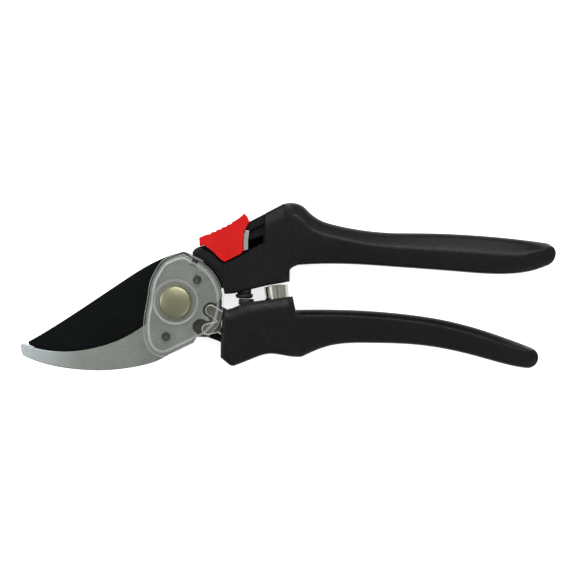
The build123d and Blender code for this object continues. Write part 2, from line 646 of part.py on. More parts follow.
# ---------------------------------------------------------------- build
blade_part = make_blade()
make_pivot_bolt()
bush_front = BOLT_HEAD_BACK - WAVE_WASHER_THICK
make_ring("pivot_bush", BUSH_RADIUS, BOLT_RADIUS, BLADE_FRONT, bush_front)
make_ring("wave_washer", WAVE_WASHER_RADIUS, BOLT_RADIUS, bush_front, BOLT_HEAD_BACK)
make_ring("pivot_washer", PIVOT_WASHER_RADIUS, BOLT_RADIUS, NUT_HEIGHT, BLADE_BACK)
make_pivot_nut()
make_upper_handle(blade_part)
make_upper_bumper()
make_arm_rivet()
make_arm_rivet_washer()
make_return_spring()
make_detent_spring()
make_hook()
make_gear_cover()
make_cover_pegs()
arm_part = make_gear_arm()
make_lower_handle(arm_part)
make_lower_bumper()
make_spring_seat()
make_lock_button()
make_lock_latch()
make_latch_rivets()
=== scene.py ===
"""Looks for a geared bypass pruner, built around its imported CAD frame.

Metres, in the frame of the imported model: +X along the handles, +Y to the upper handle, +Z up.
"""
import math

import bmesh
import bpy
import numpy as np
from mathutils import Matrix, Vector


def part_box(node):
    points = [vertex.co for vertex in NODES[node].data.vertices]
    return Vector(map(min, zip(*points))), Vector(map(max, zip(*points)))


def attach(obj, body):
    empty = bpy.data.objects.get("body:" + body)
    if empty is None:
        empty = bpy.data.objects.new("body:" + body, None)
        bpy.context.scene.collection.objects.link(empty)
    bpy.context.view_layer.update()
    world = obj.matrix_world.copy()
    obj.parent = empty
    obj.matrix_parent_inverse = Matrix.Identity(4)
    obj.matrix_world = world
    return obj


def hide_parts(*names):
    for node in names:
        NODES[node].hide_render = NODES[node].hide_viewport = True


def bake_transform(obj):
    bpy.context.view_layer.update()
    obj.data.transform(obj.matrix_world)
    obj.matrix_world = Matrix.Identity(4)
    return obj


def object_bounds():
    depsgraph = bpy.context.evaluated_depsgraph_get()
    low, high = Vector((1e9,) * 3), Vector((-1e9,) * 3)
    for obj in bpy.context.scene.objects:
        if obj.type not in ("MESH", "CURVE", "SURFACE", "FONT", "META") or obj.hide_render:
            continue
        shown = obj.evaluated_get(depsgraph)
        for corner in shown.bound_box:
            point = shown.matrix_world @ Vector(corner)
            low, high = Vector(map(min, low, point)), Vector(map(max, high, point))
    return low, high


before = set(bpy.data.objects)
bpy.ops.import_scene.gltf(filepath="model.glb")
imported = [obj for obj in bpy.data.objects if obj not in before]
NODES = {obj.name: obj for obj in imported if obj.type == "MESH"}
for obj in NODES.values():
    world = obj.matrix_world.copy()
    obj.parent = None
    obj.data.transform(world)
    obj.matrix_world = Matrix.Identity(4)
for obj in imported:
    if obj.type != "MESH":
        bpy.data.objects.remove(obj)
cad_low, cad_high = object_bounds()
MM = 0.001


# ---------------------------------------------------------------- materials
class Nodes:
    """Short way to add and wire shader nodes of one material."""

    def __init__(self, name):
        self.material = bpy.data.materials.new(name)
        self.material.use_nodes = True
        self.tree = self.material.node_tree
        self.shader = self.tree.nodes["Principled BSDF"]
        self.place = self.add("ShaderNodeTexCoord").outputs["Object"]

    def add(self, kind, **settings):
        node = self.tree.nodes.new(kind)
        for key, value in settings.items():
            setattr(node, key, value)
        return node

    def link(self, source, target):
        self.tree.links.new(source, target)

    def set(self, **sockets):
        for key, value in sockets.items():
            self.shader.inputs[key.replace("_", " ")].default_value = value

    def stretched(self, scale):
        """Object coordinates stretched by scale on each axis."""
        mapping = self.add("ShaderNodeMapping")
        mapping.inputs["Scale"].default_value = scale
        self.link(self.place, mapping.inputs["Vector"])
        return mapping.outputs["Vector"]

    def noise(self, scale, detail=4.0, stretch=None, roughness=0.55):
        node = self.add("ShaderNodeTexNoise")
        node.inputs["Scale"].default_value = scale
        node.inputs["Detail"].default_value = detail
        node.inputs["Roughness"].default_value = roughness
        self.link(self.stretched(stretch) if stretch else self.place, node.inputs["Vector"])
        return node.outputs["Fac"]

    def spread(self, source, low, high, start=0.35, end=0.65):
        """Maps a factor to a range of numbers."""
        node = self.add("ShaderNodeMapRange")
        limits = {"From Min": start, "From Max": end, "To Min": low, "To Max": high}
        for key, value in limits.items():
            node.inputs[key].default_value = value
        self.link(source, node.inputs["Value"])
        return node.outputs["Result"]

    def ramp(self, source, *stops):
        """Colour ramp through (place, colour) stops."""
        node = self.add("ShaderNodeValToRGB")
        elements = node.color_ramp.elements
        while len(elements) < len(stops):
            elements.new(0.5)
        for element, (place, colour) in zip(elements, stops):
            element.position = place
            element.color = (*colour, 1)
        self.link(source, node.inputs["Fac"])
        return node.outputs["Color"]

    def mix(self, factor, first, second):
        """Mixes two colours, each a socket or three numbers."""
        node = self.add("ShaderNodeMix", data_type="RGBA")
        self.link(factor, node.inputs["Factor"])
        for socket, value in ((node.inputs[6], first), (node.inputs[7], second)):
            if isinstance(value, tuple):
                socket.default_value = (*value, 1)
            else:
                self.link(value, socket)
        return node.outputs[2]

    def rim(self, inner=0.985, outer=0.9, direction="Normal"):
        """0 on level faces, 1 on rounded rims and side walls; True Normal leaves out smooth shading."""
        split = self.add("ShaderNodeSeparateXYZ")
        self.link(self.add("ShaderNodeNewGeometry").outputs[direction], split.inputs["Vector"])
        level = self.add("ShaderNodeMath", operation="ABSOLUTE")
        self.link(split.outputs["Z"], level.inputs[0])
        return self.spread(level.outputs["Value"], 1.0, 0.0, outer, inner)

    def along_x(self, start, end):
        """0 at one place along X, 1 at another, in metres."""
        split = self.add("ShaderNodeSeparateXYZ")
        self.link(self.place, split.inputs["Vector"])
        return self.spread(split.outputs["X"], 0.0, 1.0, start, end)

    def bump(self, *layers):
        """Chains (height socket, distance in metres, strength) layers into the normal."""
        normal = None
        for height, distance, strength in layers:
            node = self.add("ShaderNodeBump")
            node.inputs["Distance"].default_value = distance
            node.inputs["Strength"].default_value = strength
            self.link(height, node.inputs["Height"])
            if normal is not None:
                self.link(normal, node.inputs["Normal"])
            normal = node.outputs["Normal"]
        self.link(normal, self.shader.inputs["Normal"])

    def color(self, source):
        self.link(source, self.shader.inputs["Base Color"])

    def rough(self, source):
        self.link(source, self.shader.inputs["Roughness"])


def moulded_plastic(name, dark, light, gloss, specular):
    """Moulded plastic with cloudy colour, the pebbled grain of a spark-eroded mould and painted glints:
    lighter flecks on the grain's peaks.
    """
    m = Nodes(name)
    clouds = m.noise(70.0, 6.0)
    pebbles = m.noise(1300.0, 3.0, roughness=0.6)
    fine = m.noise(3200.0, 3.0, roughness=0.7)
    base = m.ramp(clouds, (0.3, dark), (0.7, light))
    # Painted glints: the grain's peaks are lighter, standing in for light catching them.
    painted_glints = m.mix(m.spread(pebbles, 0.0, 0.5, 0.56, 0.74), base, tuple(2.2 * c for c in light))
    m.color(painted_glints)
    m.rough(m.spread(pebbles, gloss - 0.08, gloss + 0.1))
    m.bump((pebbles, 0.00011, 0.6), (fine, 0.00005, 0.4))
    m.set(IOR=1.5, Specular_IOR_Level=specular)
    return m.material


def ground_steel(name, dark, light, rough, direction, metallic=1.0, scratch=0.4, rim=None):
    """Steel with grinding lines, uneven tone and, where a rim colour is given, a painted highlight: paler
    colour on its rims and side walls.
    """
    m = Nodes(name)
    lines = m.noise(1500.0, 4.0, stretch=direction, roughness=0.7)
    clouds = m.noise(60.0, 6.0)
    base = m.mix(m.spread(clouds, 0.0, 1.0, 0.3, 0.7), dark, light)
    base = m.mix(m.spread(lines, 0.0, 0.15), base, tuple(min(1.0, c * 1.25) for c in light))
    if rim:
        # Painted highlight: rims and side walls take the paler rim colour.
        base = m.mix(m.rim(), base, rim)
    m.color(base)
    m.rough(m.spread(lines, rough - 0.05, rough + 0.08))
    m.bump((lines, 0.00002, scratch), (m.noise(220.0, 5.0), 0.00003, 0.15))
    m.set(Metallic=metallic)
    return m.material


def hook_steel_with_painted_shade():
    """Satin steel with painted reflection and shade: pale at the tip, darker towards the pivot, and dark
    painted shade on its chamfers.
    """
    m = Nodes("hook_steel")
    lines = m.noise(2600.0, 4.0, stretch=(0.3, 1.2, 1.0), roughness=0.7)
    clouds = m.noise(75.0, 6.0)
    # Painted reflection and shade: the tip, middle and rear tones make the face paler at the tip and darker
    # towards the pivot.
    tip = m.mix(m.spread(clouds, 0.0, 1.0, 0.3, 0.7), (0.74, 0.82, 0.86), (0.86, 0.93, 0.96))
    middle = m.mix(m.spread(clouds, 0.0, 1.0, 0.3, 0.7), (0.37, 0.405, 0.365), (0.44, 0.475, 0.43))
    rear = m.mix(m.spread(clouds, 0.0, 1.0, 0.3, 0.7), (0.25, 0.265, 0.235), (0.31, 0.325, 0.29))
    base = m.mix(m.along_x(-0.062, -0.038), tip, middle)
    base = m.mix(m.along_x(-0.034, -0.006), base, rear)
    base = m.mix(m.spread(lines, 0.0, 0.05), base, (0.85, 0.87, 0.86))
    # Painted shade: chamfers and side walls are darkened.
    painted_chamfer_shade = m.spread(m.rim(0.99, 0.93, "True Normal"), 0.0, 0.85, 0.0, 1.0)
    m.color(m.mix(painted_chamfer_shade, base, (0.03, 0.033, 0.03)))
    m.rough(m.spread(lines, 0.27, 0.4))
    m.bump((lines, 0.000002, 0.05), (m.noise(240.0, 3.0), 0.00003, 0.08))
    m.set(Metallic=1.0)
    return m.material


def black_coating():
    """Low-stick coating on the blade: blue-black, satin, with rubbed streaks, and a painted highlight of
    lighter grey on its rims and side walls.
    """
    m = Nodes("blade_coating")
    clouds = m.noise(45.0, 6.0)
    fine = m.noise(1800.0, 4.0, roughness=0.7)
    streaks = m.noise(240.0, 4.0, stretch=(0.25, 1.6, 1.0))
    base = m.ramp(clouds, (0.3, (0.0008, 0.0016, 0.0018)), (0.7, (0.0022, 0.0036, 0.0040)))
    rubbed = m.mix(m.spread(streaks, 0.0, 0.3, 0.55, 0.75), base, (0.008, 0.010, 0.011))
    # Painted highlight: rims and side walls are lighter grey.
    m.color(m.mix(m.spread(m.rim(0.99, 0.93), 0.0, 0.5, 0.0, 1.0), rubbed, (0.10, 0.105, 0.105)))
    m.rough(m.spread(fine, 0.42, 0.55))
    m.bump((fine, 0.00005, 0.5), (streaks, 0.00003, 0.2))
    m.set(Specular_IOR_Level=0.09)
    return m.material


def clear_plastic():
    """Clear moulded cover: thin see-through faces, a painted highlight on its rims (sloped faces more
    opaque and pale), faint flow lines and handling haze.
    """
    m = Nodes("clear_plastic")
    haze = m.noise(120.0, 6.0)
    flow = m.noise(1500.0, 3.0, stretch=(1.0, 0.2, 1.0))
    m.color(m.ramp(haze, (0.3, (0.62, 0.66, 0.63)), (0.7, (0.76, 0.80, 0.77))))
    m.rough(m.spread(haze, 0.06, 0.16))
    m.bump((m.noise(70.0, 3.0), 0.0003, 0.12), (flow, 0.00002, 0.2))
    faces = m.spread(haze, 0.015, 0.045)
    # Painted highlight: rims and sloped faces are made more opaque, showing the pale colour as bright rim
    # lines.
    edge = m.spread(m.rim(0.995, 0.7), 0.0, 0.42, 0.0, 1.0)
    total = m.add("ShaderNodeMath", operation="ADD", use_clamp=True)
    m.link(faces, total.inputs[0])
    m.link(edge, total.inputs[1])
    m.link(total.outputs["Value"], m.shader.inputs["Alpha"])
    m.set(IOR=1.49, Specular_IOR_Level=0.8, Coat_Weight=0.3, Coat_Roughness=0.05)
    return m.material


def black_rubber():
    """Matt black rubber with a fine grain."""
    m = Nodes("black_rubber")
    fine = m.noise(1500.0, 5.0, roughness=0.75)
    m.color(m.ramp(m.noise(90.0), (0.3, (0.004, 0.004, 0.004)), (0.7, (0.011, 0.0105, 0.011))))
    m.rough(m.spread(fine, 0.42, 0.62))
    m.bump((fine, 0.00012, 0.5))
    return m.material


def red_plastic():
    """Glossy red moulding with faint flow marks and a painted highlight: lighter red on its rims and side
    walls.
    """
    m = Nodes("red_plastic")
    clouds = m.noise(130.0, 4.0)
    fine = m.noise(2200.0, 3.0, roughness=0.7)
    base = m.ramp(clouds, (0.3, (0.52, 0.004, 0.003)), (0.7, (0.61, 0.007, 0.006)))
    # Painted highlight: rims and side walls are a lighter red.
    m.color(m.mix(m.spread(m.rim(0.99, 0.6), 0.0, 0.3, 0.0, 1.0), base, (0.80, 0.10, 0.09)))
    m.rough(m.spread(fine, 0.3, 0.42))
    m.bump((fine, 0.00006, 0.4), (clouds, 0.0002, 0.12))
    m.set(Specular_IOR_Level=0.22)
    return m.material


# ---------------------------------------------------------------- mesh helpers
WELD_DISTANCE = 1e-6
BEVEL_SEGMENTS = 3
BEVEL_ANGLE = 35.0
FACE_WEIGHT = 100
TINY = 1e-9


def mesh_piece(name, vertices, faces, material, slot, smooth=True):
    """New object from vertices in metres."""
    mesh = bpy.data.meshes.new(name)
    mesh.from_pydata([tuple(v) for v in vertices], [], faces)
    mesh.validate()
    mesh.materials.append(material)
    piece = bpy.data.objects.new(name, mesh)
    bpy.context.scene.collection.objects.link(piece)
    edit = bmesh.new()
    edit.from_mesh(mesh)
    bmesh.ops.recalc_face_normals(edit, faces=edit.faces)
    edit.to_mesh(mesh)
    edit.free()
    for polygon in mesh.polygons:
        polygon.use_smooth = smooth
    return piece


def apply_modifiers(piece):
    """Turns the modifiers of a new piece into its own mesh."""
    graph = bpy.context.evaluated_depsgraph_get()
    final = bpy.data.meshes.new_from_object(piece.evaluated_get(graph))
    piece.modifiers.clear()
    piece.data = final


def soften(piece, width, clamp=True):
    """Rounds a piece's sharp edges and evens its shading."""
    weld = piece.modifiers.new("weld", "WELD")
    weld.merge_threshold = WELD_DISTANCE
    bevel = piece.modifiers.new("bevel", "BEVEL")
    bevel.width = width
    bevel.segments = BEVEL_SEGMENTS
    bevel.limit_method = "ANGLE"
    bevel.angle_limit = math.radians(BEVEL_ANGLE)
    bevel.use_clamp_overlap = clamp
    bevel.loop_slide = False
    shade = piece.modifiers.new("shade", "WEIGHTED_NORMAL")
    shade.keep_sharp = False
    shade.weight = FACE_WEIGHT
    for polygon in piece.data.polygons:
        polygon.use_smooth = True


def prism(outline, bottom, top):
    """Vertices and faces of a straight prism over an outline in millimetres."""
    count = len(outline)
    vertices = [Vector((x, y, bottom)) * MM for x, y in outline]
    vertices += [Vector((x, y, top)) * MM for x, y in outline]
    faces = [tuple(reversed(range(count))), tuple(range(count, 2 * count))]
    faces += [(i, (i + 1) % count, (i + 1) % count + count, i + count) for i in range(count)]
    return vertices, faces


def cut(piece, outline, bottom, top):
    """Takes a prism out of a piece."""
    shape = prism(outline, bottom, top)
    cutter = mesh_piece("cutter", *shape, piece.data.materials[0], "handle_plastic", False)
    boolean = piece.modifiers.new("cut", "BOOLEAN")
    boolean.operation = "DIFFERENCE"
    boolean.solver = "EXACT"
    boolean.object = cutter
    apply_modifiers(piece)
    bpy.data.objects.remove(cutter)


def cross_section(node, height):
    """Line segments, in millimetres, where a level plane cuts a node."""
    mesh = NODES[node].data
    mesh.calc_loop_triangles()
    points = np.array([v.co for v in mesh.vertices]) / MM
    triangles = points[np.array([t.vertices for t in mesh.loop_triangles])]
    segments = []
    for a, b in ((0, 1), (1, 2), (2, 0)):
        p, q = triangles[:, a], triangles[:, b]
        crosses = (p[:, 2] - height) * (q[:, 2] - height) < 0
        share = np.where(crosses, (height - p[:, 2]) / np.where(crosses, q[:, 2] - p[:, 2], 1), np.nan)
        segments.append(p[:, :2] + (q - p)[:, :2] * share[:, None])
    cut_points = np.stack(segments, axis=1)
    hit = (~np.isnan(cut_points[:, :, 0])).sum(1) == 2
    return np.array([row[~np.isnan(row[:, 0])] for row in cut_points[hit]])


def extents_along(segments, stations):
    """Lowest and highest y of a cross-section at each station along X."""
    low, high = [], []
    for x in stations:
        first, second = segments[:, 0], segments[:, 1]
        spans = (first[:, 0] - x) * (second[:, 0] - x) <= 0
        start, end = first[spans], second[spans]
        step = end[:, 0] - start[:, 0]
        run = np.where(np.abs(step) < TINY, TINY, step)
        y = start[:, 1] + (x - start[:, 0]) / run * (end[:, 1] - start[:, 1])
        y = np.clip(y, np.minimum(start[:, 1], end[:, 1]), np.maximum(start[:, 1], end[:, 1]))
        low.append(y.min())
        high.append(y.max())
    return np.array(low), np.array(high)


def distance_inside(points, outline):
    """Distance of each point from a closed outline."""
    start = outline
    run = np.roll(outline, -1, axis=0) - start
    length = np.maximum((run ** 2).sum(1), 1e-12)
    nearest = np.full(len(points), 1e9)
    for origin, step, size in zip(start, run, length):
        share = np.clip(((points - origin) @ step) / size, 0, 1)
        gap = points - origin - share[:, None] * step
        nearest = np.minimum(nearest, (gap ** 2).sum(1))
    return np.sqrt(nearest)


# ---------------------------------------------------------------- moulded handles
EDGE_STEPS = np.array([0.0, 0.1, 0.25, 0.45, 0.75, 1.1, 1.6, 2.3, 3.1])
END_STEPS = np.array([0.05, 0.12, 0.22, 0.35, 0.55, 0.85, 1.2])
EVEN_STATIONS = 300
STATION_INSET = 0.02
EDGE_SHARE = 0.45
LOWER_ROWS = 9
UPPER_ROWS = 7
FRONT_ROUND = 1.5
BACK_ROUND = 3.0
CREASE_SOFT = 0.16
CREASE_FADE = 0.12
LOWER_DROP = 0.7
SMALLEST_SPAN = 0.5
HANDLE_SHARP = 38.0


def quarter(distance, radius):
    """How far a rounded edge falls below its face at a distance from the rim."""
    gap = np.clip(1 - distance / radius, 0, 1)
    return radius * (1 - np.sqrt(1 - gap ** 2))


def handle_shell(name, node, slice_height, crease, facet_drop, material):
    """Moulded handle over a CAD node: its own outline, a crease along the front face and rounded rims.

    crease lists (x, share of the height) points; above the crease the face falls away by facet_drop.
    """
    segments = cross_section(node, slice_height)
    x0 = segments[:, :, 0].min() + STATION_INSET
    x1 = segments[:, :, 0].max() - STATION_INSET
    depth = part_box(node)[1].z / MM
    even = np.linspace(x0, x1, EVEN_STATIONS)
    corners = np.unique(np.round(segments[:, :, 0], 1))
    stations = np.unique(np.concatenate([
        even, x0 + END_STEPS, x1 - END_STEPS, corners - STATION_INSET, corners + STATION_INSET]))
    stations = stations[(stations >= x0) & (stations <= x1)]
    bottom, top = extents_along(segments, stations)
    outline = np.concatenate([np.stack([stations, bottom], 1), np.stack([stations, top], 1)[::-1]])
    share = np.interp(stations, *zip(*crease))
    rows = []
    for x, y0, y1, s in zip(stations, bottom, top, share):
        height = y1 - y0
        ridge = y0 + height * s
        low_steps = EDGE_STEPS * min(1, EDGE_SHARE * (ridge - y0) / EDGE_STEPS[-1])
        high_steps = EDGE_STEPS * min(1, EDGE_SHARE * (y1 - ridge) / EDGE_STEPS[-1])
        row = np.concatenate([
            y0 + low_steps, np.linspace(y0 + low_steps[-1], ridge, LOWER_ROWS)[1:],
            np.linspace(ridge, y1 - high_steps[-1], UPPER_ROWS)[1:], y1 - high_steps[::-1][1:]])
        rows.append(np.stack([np.full(len(row), x), row], 1))
    grid = np.array(rows)
    flat = grid.reshape(-1, 2)
    inside = distance_inside(flat, outline).reshape(grid.shape[:2])
    ridge = (bottom + (top - bottom) * share)[:, None]
    above = np.clip((grid[:, :, 1] - ridge) / np.maximum(top[:, None] - ridge, SMALLEST_SPAN), 0, 1)
    below = np.clip((ridge - grid[:, :, 1]) / np.maximum(ridge - bottom[:, None], SMALLEST_SPAN), 0, 1)
    fade = np.clip((1 - share) / CREASE_FADE, 0, 1)[:, None]
    slope = np.sqrt(above ** 2 + CREASE_SOFT ** 2) - CREASE_SOFT
    front = depth - fade * (facet_drop * slope + LOWER_DROP * below ** 2) - quarter(inside, FRONT_ROUND)
    back = quarter(inside, BACK_ROUND)
    n, m = grid.shape[:2]
    vertices = [Vector((x, y, z)) * MM for (x, y), z in zip(flat, front.ravel())]
    vertices += [Vector((x, y, z)) * MM for (x, y), z in zip(flat, back.ravel())]
    shift = n * m
    faces = []
    for i in range(n - 1):
        for j in range(m - 1):
            a, b, c, d = i * m + j, (i + 1) * m + j, (i + 1) * m + j + 1, i * m + j + 1
            faces.append((a, b, c, d))
            faces.append((d + shift, c + shift, b + shift, a + shift))
    rim = [i * m for i in range(n)] + [(n - 1) * m + j for j in range(1, m)]
    rim += [i * m + m - 1 for i in reversed(range(n - 1))] + [j for j in reversed(range(1, m - 1))]
    for a, b in zip(rim, rim[1:] + rim[:1]):
        faces.append((a, a + shift, b + shift, b))
    piece = mesh_piece(name, vertices, faces, material, "handle_plastic")
    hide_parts(node)
    return piece


UPPER_CREASE = [(0, 1.0), (43.0, 1.0), (44.6, 0.93), (47.0, 0.79), (53.8, 0.667), (62.2, 0.65),
                (77.7, 0.563), (98.8, 0.51), (137.5, 0.49), (146.0, 0.70), (150.5, 0.95), (160, 1.0)]
LOWER_CREASE = [(0, 1.0), (45.0, 1.0), (47.5, 0.93), (49.5, 0.87), (74.0, 0.806), (98.8, 0.767),
                (120.0, 0.717), (137.5, 0.72), (143.5, 0.95), (160, 1.0)]
CHANNEL = [(7.5, 30.0), (8.0, 22.3), (14.1, 19.4), (17.4, 16.2), (19.6, 15.1), (35.8, 23.2), (35.8, 46.0)]
WINDOW = [(17.5, 17.0), (19.6, 15.9), (34.9, 23.6), (34.9, 31.2), (17.5, 22.6)]
GUIDE = [(5.5, 11.5), (37.6, 27.9), (35.0, 33.0), (2.9, 16.7)]
HEAD_BACK = [(10.0, 6.0), (26.5, 6.0), (29.4, -6.5), (29.7, -10.0), (28.0, -13.6), (25.6, -15.5),
             (24.8, -19.2), (10.0, -19.2)]
LOBE_MOUTH = [(10.0, 2.0), (22.3, 2.0), (22.3, -15.5), (10.0, -15.5)]
CHANNEL_FLOOR = 10.4
BLADE_FRONT = 7.8
HOOK_FRONT = 11.15
ABOVE_ALL = 20.0
BELOW_ALL = -5.0
WINDOW_OVERLAP = 1.0
GUIDE_SKIN = 0.01
HEAD_PLAY = 0.15
UPPER_SLICE = 3.8
LOWER_SLICE = 11.3
UPPER_FACET = 3.4
LOWER_FACET = 2.8


def build_handles(material):
    """Both moulded handles, with the lock's channel in one and the room for blade and hook in the other."""
    upper = handle_shell(
        "upper_handle_shell", "upper_handle", UPPER_SLICE, UPPER_CREASE, UPPER_FACET, material)
    cut(upper, CHANNEL, CHANNEL_FLOOR, ABOVE_ALL)
    cut(upper, WINDOW, BLADE_FRONT, CHANNEL_FLOOR + WINDOW_OVERLAP)
    cut(upper, GUIDE, BLADE_FRONT, CHANNEL_FLOOR - GUIDE_SKIN)
    lower = handle_shell(
        "lower_handle_shell", "lower_handle", LOWER_SLICE, LOWER_CREASE, LOWER_FACET, material)
    cut(lower, HEAD_BACK, BELOW_ALL, BLADE_FRONT + HEAD_PLAY)
    cut(lower, LOBE_MOUTH, BLADE_FRONT, HOOK_FRONT)
    for piece, body in ((upper, "blade_side"), (lower, "grip_side")):
        piece.data.set_sharp_from_angle(angle=math.radians(HANDLE_SHARP))
        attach(piece, body)


# ---------------------------------------------------------------- clear cover
COVER_ANGLES = 360
COVER_RINGS = 60
RIM_DEPTHS = np.array([0.0, 0.04, 0.1, 0.2, 0.35, 0.55])
COVER_STEP = 1.0
RIM_RADIUS = 0.5
RECESS_RADIUS = 8.5
BOLT_HOLE = 5.4
CORNER_DEPTH = 6.0
SLICE_ABOVE_BACK = 0.6
OUTLINE_EVENING = 3
STEP_START = 1.5
STEP_END = 2.9
RECESS_START = 0.5
RECESS_END = 0.7
COVER_SHARP = 50.0


def smooth_step(value, start, end):
    """Eased rise from 0 at start to 1 at end."""
    share = np.clip((value - start) / (end - start), 0, 1)
    return share * share * (3 - 2 * share)


def loop_radius(segments, angles):
    """Largest distance from the pivot axis of a cross-section at each angle."""
    first, second = segments[:, 0], segments[:, 1]
    reach = []
    for angle in angles:
        ray = np.array([math.cos(angle), math.sin(angle)])
        side = np.array([-ray[1], ray[0]])
        p, q = first @ side, second @ side
        crosses = (p * q <= 0) & (np.abs(p - q) > TINY)
        share = p[crosses] / (p[crosses] - q[crosses])
        points = first[crosses] + share[:, None] * (second[crosses] - first[crosses])
        reach.append((points @ ray).max())
    return np.array(reach)


def build_cover(material):
    """Clear cover: rounded outer rim, a soft step up to the middle, and a dish around the bolt."""
    low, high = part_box("gear_cover")
    back, front = low.z / MM, high.z / MM
    segments = cross_section("gear_cover", back + SLICE_ABOVE_BACK)
    angles = np.linspace(0, 2 * math.pi, COVER_ANGLES, endpoint=False)
    reach = loop_radius(segments, angles)
    shifts = range(-OUTLINE_EVENING, OUTLINE_EVENING + 1)
    reach = np.mean([np.roll(reach, k) for k in shifts], axis=0)
    rays = np.stack([np.cos(angles), np.sin(angles)], 1)
    outline = rays * reach[:, None]
    shares = np.linspace(0, 1, COVER_RINGS)
    rings = [BOLT_HOLE + (reach - RIM_DEPTHS[-1] - BOLT_HOLE) * share for share in shares]
    rings += [reach - depth for depth in RIM_DEPTHS[-2::-1]]
    radii = np.array(rings)
    flat = (rays[None] * radii[:, :, None]).reshape(-1, 2)
    inside = distance_inside(flat, outline)
    radius = radii.ravel()
    # The step's corners are rounder than the outline's: it keeps its distance from a core set deep inside.
    depth = inside.reshape(radii.shape)
    core = np.array([np.interp(-CORNER_DEPTH, -depth[:, k], radii[:, k]) for k in range(COVER_ANGLES)])
    from_core = distance_inside(flat, rays * core[:, None]) * (radius > np.tile(core, len(rings)))
    from_rim = CORNER_DEPTH - from_core
    rise = smooth_step(from_rim, STEP_START, STEP_END)
    rise = rise * smooth_step(radius, RECESS_RADIUS - RECESS_START, RECESS_RADIUS + RECESS_END)
    top = front - COVER_STEP * (1 - rise) - quarter(inside, RIM_RADIUS)
    vertices = [Vector((x, y, z)) * MM for (x, y), z in zip(flat, top)]
    edges = [radii[-1], np.full(COVER_ANGLES, BOLT_HOLE)]
    for ring in edges:
        vertices += [Vector((x, y, back)) * MM for x, y in rays * ring[:, None]]
    faces = []
    last = len(rings) - 1
    loops = [(k, k + 1) for k in range(last)] + [(last, last + 1), (last + 1, last + 2), (last + 2, 0)]
    for inner, outer in loops:
        for i in range(COVER_ANGLES):
            j = (i + 1) % COVER_ANGLES
            a, b = inner * COVER_ANGLES, outer * COVER_ANGLES
            faces.append((a + i, b + i, b + j, a + j))
    cover = mesh_piece("clear_cover", vertices, faces, material, "clear_plastic")
    cover.data.set_sharp_from_angle(angle=math.radians(COVER_SHARP))
    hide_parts("gear_cover")
    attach(cover, "hook_side")


# ---------------------------------------------------------------- return spring
SPRING_TURNS = 2.6
SPRING_STEPS = 160
SPRING_START = 82.0
SPRING_HEIGHT = 5.7
STRIP_THICK = 0.6
STRIP_WIDTH = 5.2
STRIP_STEP = 1.25
SPRING_TILT = 8.0
SPRING_SHARP = 40.0


def build_spring(material):
    """Volute spring: one flat strip wound into a rising spiral between the two handles."""
    low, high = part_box("return_spring")
    centre = (low + high) / 2 / MM
    tilt = math.radians(SPRING_TILT)
    axis = Vector((-math.sin(tilt), math.cos(tilt), 0))
    side = Vector((math.cos(tilt), math.sin(tilt), 0))
    up = Vector((0, 0, 1))
    outer = (high.z - low.z) / MM / 2
    vertices, faces = [], []
    for step in range(SPRING_STEPS + 1):
        turn = SPRING_TURNS * step / SPRING_STEPS
        angle = math.radians(SPRING_START) - 2 * math.pi * turn
        radius = outer - STRIP_STEP * turn
        rise = -SPRING_HEIGHT / 2 + (SPRING_HEIGHT - STRIP_WIDTH) * turn / SPRING_TURNS
        corners = ((radius, rise), (radius, rise + STRIP_WIDTH),
                   (radius - STRIP_THICK, rise + STRIP_WIDTH), (radius - STRIP_THICK, rise))
        for r, h in corners:
            point = centre + axis * h + (side * math.cos(angle) + up * math.sin(angle)) * r
            vertices.append(point * MM)
    for step in range(SPRING_STEPS):
        a, b = step * 4, step * 4 + 4
        faces += [(a + k, a + (k + 1) % 4, b + (k + 1) % 4, b + k) for k in range(4)]
    faces += [(0, 1, 2, 3), tuple(SPRING_STEPS * 4 + k for k in (3, 2, 1, 0))]
    spring = mesh_piece("volute_spring", vertices, faces, material, "spring_steel")
    spring.data.set_sharp_from_angle(angle=math.radians(SPRING_SHARP))
    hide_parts("return_spring")
    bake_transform(spring)


# ---------------------------------------------------------------- rubber stops
TURNED_STEPS = 48
TURNED_SHARP = 50.0
PAD_PROFILE = [(0.0, 1.15), (2.5, 1.15), (2.9, 1.05), (3.1, 0.75), (3.1, -1.0), (2.9, -1.2), (0.0, -1.2)]
KNOB_PROFILE = [(0.0, 6.0), (2.5, 6.0), (2.8, 5.8), (2.85, 3.6), (2.75, 3.35), (2.75, 3.2), (3.3, 3.1),
                (3.5, 2.85), (3.5, 2.2), (3.2, 1.7), (2.6, 1.35), (1.8, 1.25), (0.0, 1.25)]


def turned(name, node, body, profile, material, slot):
    """Turned piece about an axis along Y through a node's middle, from (radius, y) points."""
    low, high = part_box(node)
    middle = (low + high) / 2 / MM
    vertices, faces = [], []
    for radius, y in profile[1:-1]:
        for step in range(TURNED_STEPS):
            angle = 2 * math.pi * step / TURNED_STEPS
            place = (middle.x + radius * math.cos(angle), y, middle.z + radius * math.sin(angle))
            vertices.append(Vector(place) * MM)
    for ring in range(len(profile) - 3):
        for step in range(TURNED_STEPS):
            a, b = ring * TURNED_STEPS + step, ring * TURNED_STEPS + (step + 1) % TURNED_STEPS
            faces.append((a, b, b + TURNED_STEPS, a + TURNED_STEPS))
    last = len(vertices) - TURNED_STEPS
    faces += [tuple(range(TURNED_STEPS)), tuple(reversed(range(last, len(vertices))))]
    piece = mesh_piece(name, vertices, faces, material, slot)
    piece.data.set_sharp_from_angle(angle=math.radians(TURNED_SHARP))
    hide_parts(node)
    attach(piece, body)


# ---------------------------------------------------------------- CAD nodes that keep their shape
def paint(material, names, width, clamp=True):
    """Gives CAD nodes a material and rounded edges, with the width in millimetres."""
    for name in names:
        node = NODES[name]
        node.data.materials.clear()
        node.data.materials.append(material)
        soften(node, width * MM, clamp)


